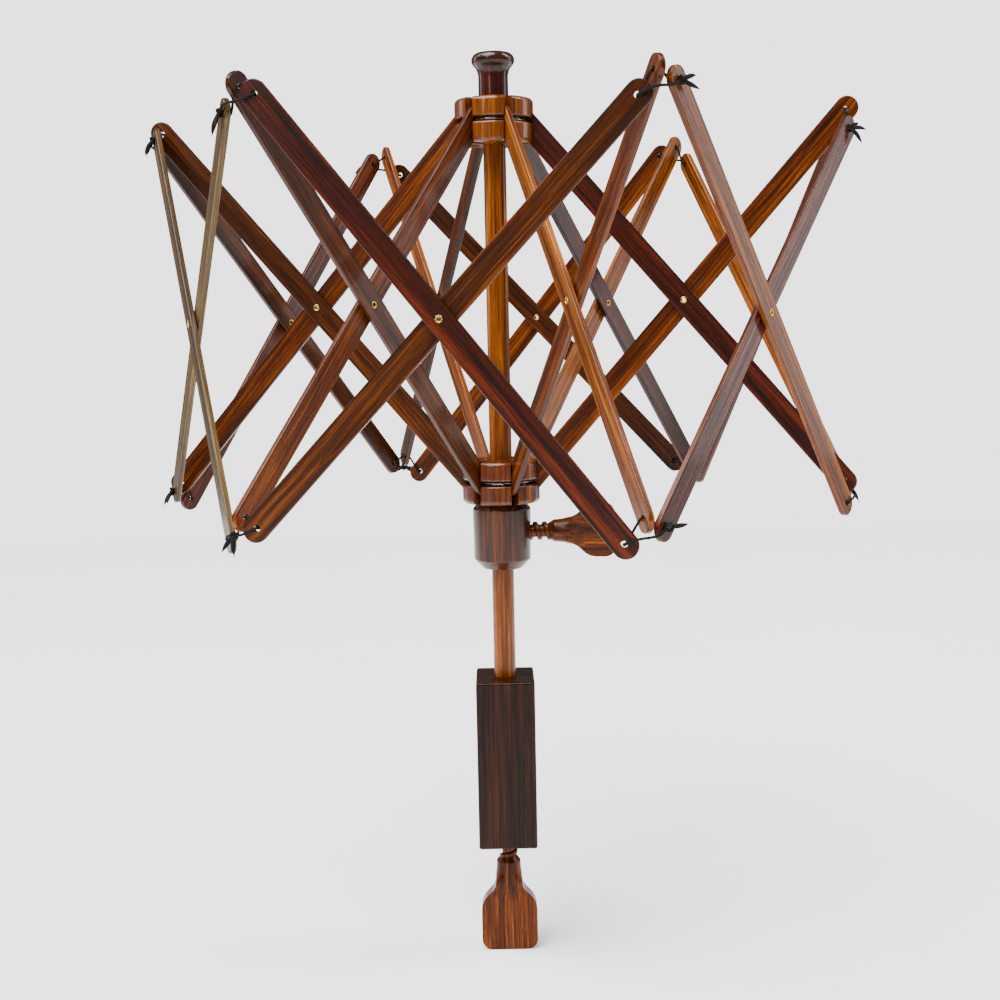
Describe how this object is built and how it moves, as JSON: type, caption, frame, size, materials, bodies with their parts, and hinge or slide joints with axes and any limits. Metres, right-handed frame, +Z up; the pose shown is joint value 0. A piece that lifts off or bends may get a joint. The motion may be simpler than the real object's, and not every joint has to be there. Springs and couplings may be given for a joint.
{
  "type": "yarn swift",
  "caption": "Table-clamped umbrella yarn swift: a folding cage of crossed slats turns on an upright spindle held by a screw clamp.",
  "frame": {"origin": "on the spindle's axis in the underside of the clamp's upper jaw, which rests on the table", "axes": "+Z up along the spindle, +Y out of the clamp's throat, towards the table, and +X to the right along the collar's thumbscrew"},
  "size_m": [0.5926, 0.5632, 0.7786],
  "materials": {
    "slat_wood": "gloss",
    "hub_wood": "gloss",
    "stand_wood": "gloss",
    "rivet_brass": "polished",
    "hub_wire": "satin",
    "tie_cord": "matt"
  },
  "bodies": {
    "stand": {"clamp_block": "stand_wood", "spindle": "stand_wood", "top_knob": "stand_wood"},
    "clamp_pad": {"clamp_pad": "stand_wood"},
    "clamp_screw": {"clamp_screw": "stand_wood"},
    "upper_hub": {"upper_hub": "hub_wood", "upper_hub_wire": "hub_wire"},
    "lower_hub": {"lower_hub": "hub_wood", "lower_hub_wire": "hub_wire"},
    "locking_collar": {"locking_collar": "stand_wood"},
    "collar_thumbscrew": {"collar_thumbscrew": "stand_wood"},
    "rib_down_1": {"rib_down_slat_1": "slat_wood", "rib_rivet_1": "rivet_brass"},
    "rib_up_1": {"rib_up_slat_1": "slat_wood"},
    "upper_tie_1": {"upper_tie_1": "tie_cord"},
    "lower_tie_1": {"lower_tie_1": "tie_cord"},
    "rim_outer_1": {"rim_outer_slat_1": "slat_wood", "rim_rivet_1": "rivet_brass"},
    "rim_inner_1": {"rim_inner_slat_1": "slat_wood"},
    "rib_down_2": {"rib_down_slat_2": "slat_wood", "rib_rivet_2": "rivet_brass"},
    "rib_up_2": {"rib_up_slat_2": "slat_wood"},
    "upper_tie_2": {"upper_tie_2": "tie_cord"},
    "lower_tie_2": {"lower_tie_2": "tie_cord"},
    "rim_outer_2": {"rim_outer_slat_2": "slat_wood", "rim_rivet_2": "rivet_brass"},
    "rim_inner_2": {"rim_inner_slat_2": "slat_wood"},
    "rib_down_3": {"rib_down_slat_3": "slat_wood", "rib_rivet_3": "rivet_brass"},
    "rib_up_3": {"rib_up_slat_3": "slat_wood"},
    "upper_tie_3": {"upper_tie_3": "tie_cord"},
    "lower_tie_3": {"lower_tie_3": "tie_cord"},
    "rim_outer_3": {"rim_outer_slat_3": "slat_wood", "rim_rivet_3": "rivet_brass"},
    "rim_inner_3": {"rim_inner_slat_3": "slat_wood"},
    "rib_down_4": {"rib_down_slat_4": "slat_wood", "rib_rivet_4": "rivet_brass"},
    "rib_up_4": {"rib_up_slat_4": "slat_wood"},
    "upper_tie_4": {"upper_tie_4": "tie_cord"},
    "lower_tie_4": {"lower_tie_4": "tie_cord"},
    "rim_outer_4": {"rim_outer_slat_4": "slat_wood", "rim_rivet_4": "rivet_brass"},
    "rim_inner_4": {"rim_inner_slat_4": "slat_wood"},
    "rib_down_5": {"rib_down_slat_5": "slat_wood", "rib_rivet_5": "rivet_brass"},
    "rib_up_5": {"rib_up_slat_5": "slat_wood"},
    "upper_tie_5": {"upper_tie_5": "tie_cord"},
    "lower_tie_5": {"lower_tie_5": "tie_cord"},
    "rim_outer_5": {"rim_outer_slat_5": "slat_wood", "rim_rivet_5": "rivet_brass"},
    "rim_inner_5": {"rim_inner_slat_5": "slat_wood"},
    "rib_down_6": {"rib_down_slat_6": "slat_wood", "rib_rivet_6": "rivet_brass"},
    "rib_up_6": {"rib_up_slat_6": "slat_wood"},
    "upper_tie_6": {"upper_tie_6": "tie_cord"},
    "lower_tie_6": {"lower_tie_6": "tie_cord"},
    "rim_outer_6": {"rim_outer_slat_6": "slat_wood", "rim_rivet_6": "rivet_brass"},
    "rim_inner_6": {"rim_inner_slat_6": "slat_wood"}
  },
  "joints": [
    {"name": "clamp_advance", "type": "slide", "parent": "stand", "child": "clamp_pad", "axis": [0, 0, 1], "range_m": [-0.013, 0.0185]},
    {"name": "clamp_screw_turn", "type": "hinge", "parent": "clamp_pad", "child": "clamp_screw", "pos_m": [0, 0.008, -0.046], "axis": [0, 0, 1], "range_deg": [-590, 840]},
    {"name": "cage_spin", "type": "hinge", "parent": "stand", "child": "upper_hub", "pos_m": [0, 0, 0.50743], "axis": [0, 0, 1], "continuous": true},
    {"name": "cage_fold", "type": "hinge", "parent": "upper_hub", "child": "rib_down_1", "pos_m": [-0.01636, -0.02021, 0.50743], "axis": [0.7771, -0.6293, 0], "range_deg": [-25, 26]},
    {"name": "rib_up_fold_1", "type": "hinge", "parent": "rib_down_1", "child": "rib_up_1", "pos_m": [-0.09893, -0.12217, 0.3565], "axis": [0.7771, -0.6293, 0], "range_deg": [-52, 50]},
    {"name": "lower_hub_pivot", "type": "hinge", "parent": "rib_up_1", "child": "lower_hub", "pos_m": [-0.01636, -0.02021, 0.20557], "axis": [0.7771, -0.6293, 0], "range_deg": [-25, 26]},
    {"name": "collar_stays", "type": "hinge", "parent": "lower_hub", "child": "locking_collar", "pos_m": [0, 0, 0.15852], "axis": [0, 0, 1], "continuous": true},
    {"name": "collar_screw_turn", "type": "hinge", "parent": "locking_collar", "child": "collar_thumbscrew", "pos_m": [0.0248, 0, 0.16142], "axis": [1, 0, 0], "range_deg": [0, 360]},
    {"name": "upper_tie_level_1", "type": "hinge", "parent": "rib_up_1", "child": "upper_tie_1", "pos_m": [-0.17722, -0.22759, 0.50743], "axis": [0.7771, -0.6293, 0], "range_deg": [-25, 26]},
    {"name": "lower_tie_level_1", "type": "hinge", "parent": "rib_down_1", "child": "lower_tie_1", "pos_m": [-0.18577, -0.22067, 0.20557], "axis": [0.7771, -0.6293, 0], "range_deg": [-26, 25]},
    {"name": "rim_outer_fold_1", "type": "hinge", "parent": "upper_tie_1", "child": "rim_outer_1", "pos_m": [-0.17026, -0.23629, 0.49543], "axis": [-0.1564, -0.9877, 0], "range_deg": [-26, 25]},
    {"name": "rim_inner_fold_1", "type": "hinge", "parent": "rim_outer_1", "child": "rim_inner_1", "pos_m": [-0.04024, -0.25409, 0.3445], "axis": [-0.1564, -0.9877, 0], "range_deg": [-50, 52]},
    {"name": "rib_down_fold_2", "type": "hinge", "parent": "upper_hub", "child": "rib_down_2", "pos_m": [0.00932, -0.02427, 0.50743], "axis": [0.9336, 0.3584, 0], "range_deg": [-25, 26]},
    {"name": "rib_up_fold_2", "type": "hinge", "parent": "rib_down_2", "child": "rib_up_2", "pos_m": [0.05634, -0.14676, 0.3565], "axis": [0.9336, 0.3584, 0], "range_deg": [-52, 50]},
    {"name": "upper_tie_level_2", "type": "hinge", "parent": "rib_up_2", "child": "upper_tie_2", "pos_m": [0.10849, -0.26727, 0.50743], "axis": [0.9336, 0.3584, 0], "range_deg": [-25, 26]},
    {"name": "lower_tie_level_2", "type": "hinge", "parent": "rib_down_2", "child": "lower_tie_2", "pos_m": [0.09822, -0.27121, 0.20557], "axis": [0.9336, 0.3584, 0], "range_deg": [-26, 25]},
    {"name": "rim_outer_fold_2", "type": "hinge", "parent": "upper_tie_2", "child": "rim_outer_2", "pos_m": [0.1195, -0.26559, 0.49543], "axis": [0.7771, -0.6293, 0], "range_deg": [-26, 25]},
    {"name": "rim_inner_fold_2", "type": "hinge", "parent": "rim_outer_2", "child": "rim_inner_2", "pos_m": [0.19993, -0.1619, 0.3445], "axis": [0.7771, -0.6293, 0], "range_deg": [-50, 52]},
    {"name": "rib_down_fold_3", "type": "hinge", "parent": "upper_hub", "child": "rib_down_3", "pos_m": [0.02568, -0.00407, 0.50743], "axis": [0.1564, 0.9877, 0], "range_deg": [-25, 26]},
    {"name": "rib_up_fold_3", "type": "hinge", "parent": "rib_down_3", "child": "rib_up_3", "pos_m": [0.15526, -0.02459, 0.3565], "axis": [0.1564, 0.9877, 0], "range_deg": [-52, 50]},
    {"name": "upper_tie_level_3", "type": "hinge", "parent": "rib_up_3", "child": "upper_tie_3", "pos_m": [0.28571, -0.03968, 0.50743], "axis": [0.1564, 0.9877, 0], "range_deg": [-25, 26]},
    {"name": "lower_tie_level_3", "type": "hinge", "parent": "rib_down_3", "child": "lower_tie_3", "pos_m": [0.28399, -0.05055, 0.20557], "axis": [0.1564, 0.9877, 0], "range_deg": [-26, 25]},
    {"name": "rim_outer_fold_3", "type": "hinge", "parent": "upper_tie_3", "child": "rim_outer_3", "pos_m": [0.28976, -0.02931, 0.49543], "axis": [0.9336, 0.3584, 0], "range_deg": [-26, 25]},
    {"name": "rim_inner_fold_3", "type": "hinge", "parent": "rim_outer_3", "child": "rim_inner_3", "pos_m": [0.24017, 0.09219, 0.3445], "axis": [0.9336, 0.3584, 0], "range_deg": [-50, 52]},
    {"name": "rib_down_fold_4", "type": "hinge", "parent": "upper_hub", "child": "rib_down_4", "pos_m": [0.01636, 0.02021, 0.50743], "axis": [-0.7771, 0.6293, 0], "range_deg": [-25, 26]},
    {"name": "rib_up_fold_4", "type": "hinge", "parent": "rib_down_4", "child": "rib_up_4", "pos_m": [0.09893, 0.12217, 0.3565], "axis": [-0.7771, 0.6293, 0], "range_deg": [-52, 50]},
    {"name": "upper_tie_level_4", "type": "hinge", "parent": "rib_up_4", "child": "upper_tie_4", "pos_m": [0.17722, 0.22759, 0.50743], "axis": [-0.7771, 0.6293, 0], "range_deg": [-25, 26]},
    {"name": "lower_tie_level_4", "type": "hinge", "parent": "rib_down_4", "child": "lower_tie_4", "pos_m": [0.18577, 0.22067, 0.20557], "axis": [-0.7771, 0.6293, 0], "range_deg": [-26, 25]},
    {"name": "rim_outer_fold_4", "type": "hinge", "parent": "upper_tie_4", "child": "rim_outer_4", "pos_m": [0.17026, 0.23629, 0.49543], "axis": [0.1564, 0.9877, 0], "range_deg": [-26, 25]},
    {"name": "rim_inner_fold_4", "type": "hinge", "parent": "rim_outer_4", "child": "rim_inner_4", "pos_m": [0.04024, 0.25409, 0.3445], "axis": [0.1564, 0.9877, 0], "range_deg": [-50, 52]},
    {"name": "rib_down_fold_5", "type": "hinge", "parent": "upper_hub", "child": "rib_down_5", "pos_m": [-0.00932, 0.02427, 0.50743], "axis": [-0.9336, -0.3584, 0], "range_deg": [-25, 26]},
    {"name": "rib_up_fold_5", "type": "hinge", "parent": "rib_down_5", "child": "rib_up_5", "pos_m": [-0.05634, 0.14676, 0.3565], "axis": [-0.9336, -0.3584, 0], "range_deg": [-52, 50]},
    {"name": "upper_tie_level_5", "type": "hinge", "parent": "rib_up_5", "child": "upper_tie_5", "pos_m": [-0.10849, 0.26727, 0.50743], "axis": [-0.9336, -0.3584, 0], "range_deg": [-25, 26]},
    {"name": "lower_tie_level_5", "type": "hinge", "parent": "rib_down_5", "child": "lower_tie_5", "pos_m": [-0.09822, 0.27121, 0.20557], "axis": [-0.9336, -0.3584, 0], "range_deg": [-26, 25]},
    {"name": "rim_outer_fold_5", "type": "hinge", "parent": "upper_tie_5", "child": "rim_outer_5", "pos_m": [-0.1195, 0.26559, 0.49543], "axis": [-0.7771, 0.6293, 0], "range_deg": [-26, 25]},
    {"name": "rim_inner_fold_5", "type": "hinge", "parent": "rim_outer_5", "child": "rim_inner_5", "pos_m": [-0.19993, 0.1619, 0.3445], "axis": [-0.7771, 0.6293, 0], "range_deg": [-50, 52]},
    {"name": "rib_down_fold_6", "type": "hinge", "parent": "upper_hub", "child": "rib_down_6", "pos_m": [-0.02568, 0.00407, 0.50743], "axis": [-0.1564, -0.9877, 0], "range_deg": [-25, 26]},
    {"name": "rib_up_fold_6", "type": "hinge", "parent": "rib_down_6", "child": "rib_up_6", "pos_m": [-0.15526, 0.02459, 0.3565], "axis": [-0.1564, -0.9877, 0], "range_deg": [-52, 50]},
    {"name": "upper_tie_level_6", "type": "hinge", "parent": "rib_up_6", "child": "upper_tie_6", "pos_m": [-0.28571, 0.03968, 0.50743], "axis": [-0.1564, -0.9877, 0], "range_deg": [-25, 26]},
    {"name": "lower_tie_level_6", "type": "hinge", "parent": "rib_down_6", "child": "lower_tie_6", "pos_m": [-0.28399, 0.05055, 0.20557], "axis": [-0.1564, -0.9877, 0], "range_deg": [-26, 25]},
    {"name": "rim_outer_fold_6", "type": "hinge", "parent": "upper_tie_6", "child": "rim_outer_6", "pos_m": [-0.28976, 0.02931, 0.49543], "axis": [-0.9336, -0.3584, 0], "range_deg": [-26, 25]},
    {"name": "rim_inner_fold_6", "type": "hinge", "parent": "rim_outer_6", "child": "rim_inner_6", "pos_m": [-0.24017, -0.09219, 0.3445], "axis": [-0.9336, -0.3584, 0], "range_deg": [-50, 52]}
  ],
  "couplings": [
    {"joint": "clamp_screw_turn", "follows": "clamp_advance", "rad_per_m": 785.4},
    {"joint": "rib_up_fold_1", "follows": "cage_fold", "ratio": -2},
    {"joint": "lower_hub_pivot", "follows": "cage_fold", "ratio": 1},
    {"joint": "collar_stays", "follows": "cage_spin", "ratio": -1},
    {"joint": "upper_tie_level_1", "follows": "cage_fold", "ratio": 1},
    {"joint": "lower_tie_level_1", "follows": "cage_fold", "ratio": -1},
    {"joint": "rim_outer_fold_1", "follows": "cage_fold", "ratio": -1},
    {"joint": "rim_inner_fold_1", "follows": "cage_fold", "ratio": 2},
    {"joint": "rib_down_fold_2", "follows": "cage_fold", "ratio": 1},
    {"joint": "rib_up_fold_2", "follows": "cage_fold", "ratio": -2},
    {"joint": "upper_tie_level_2", "follows": "cage_fold", "ratio": 1},
    {"joint": "lower_tie_level_2", "follows": "cage_fold", "ratio": -1},
    {"joint": "rim_outer_fold_2", "follows": "cage_fold", "ratio": -1},
    {"joint": "rim_inner_fold_2", "follows": "cage_fold", "ratio": 2},
    {"joint": "rib_down_fold_3", "follows": "cage_fold", "ratio": 1},
    {"joint": "rib_up_fold_3", "follows": "cage_fold", "ratio": -2},
    {"joint": "upper_tie_level_3", "follows": "cage_fold", "ratio": 1},
    {"joint": "lower_tie_level_3", "follows": "cage_fold", "ratio": -1},
    {"joint": "rim_outer_fold_3", "follows": "cage_fold", "ratio": -1},
    {"joint": "rim_inner_fold_3", "follows": "cage_fold", "ratio": 2},
    {"joint": "rib_down_fold_4", "follows": "cage_fold", "ratio": 1},
    {"joint": "rib_up_fold_4", "follows": "cage_fold", "ratio": -2},
    {"joint": "upper_tie_level_4", "follows": "cage_fold", "ratio": 1},
    {"joint": "lower_tie_level_4", "follows": "cage_fold", "ratio": -1},
    {"joint": "rim_outer_fold_4", "follows": "cage_fold", "ratio": -1},
    {"joint": "rim_inner_fold_4", "follows": "cage_fold", "ratio": 2},
    {"joint": "rib_down_fold_5", "follows": "cage_fold", "ratio": 1},
    {"joint": "rib_up_fold_5", "follows": "cage_fold", "ratio": -2},
    {"joint": "upper_tie_level_5", "follows": "cage_fold", "ratio": 1},
    {"joint": "lower_tie_level_5", "follows": "cage_fold", "ratio": -1},
    {"joint": "rim_outer_fold_5", "follows": "cage_fold", "ratio": -1},
    {"joint": "rim_inner_fold_5", "follows": "cage_fold", "ratio": 2},
    {"joint": "rib_down_fold_6", "follows": "cage_fold", "ratio": 1},
    {"joint": "rib_up_fold_6", "follows": "cage_fold", "ratio": -2},
    {"joint": "upper_tie_level_6", "follows": "cage_fold", "ratio": 1},
    {"joint": "lower_tie_level_6", "follows": "cage_fold", "ratio": -1},
    {"joint": "rim_outer_fold_6", "follows": "cage_fold", "ratio": -1},
    {"joint": "rim_inner_fold_6", "follows": "cage_fold", "ratio": 2}
  ]
}
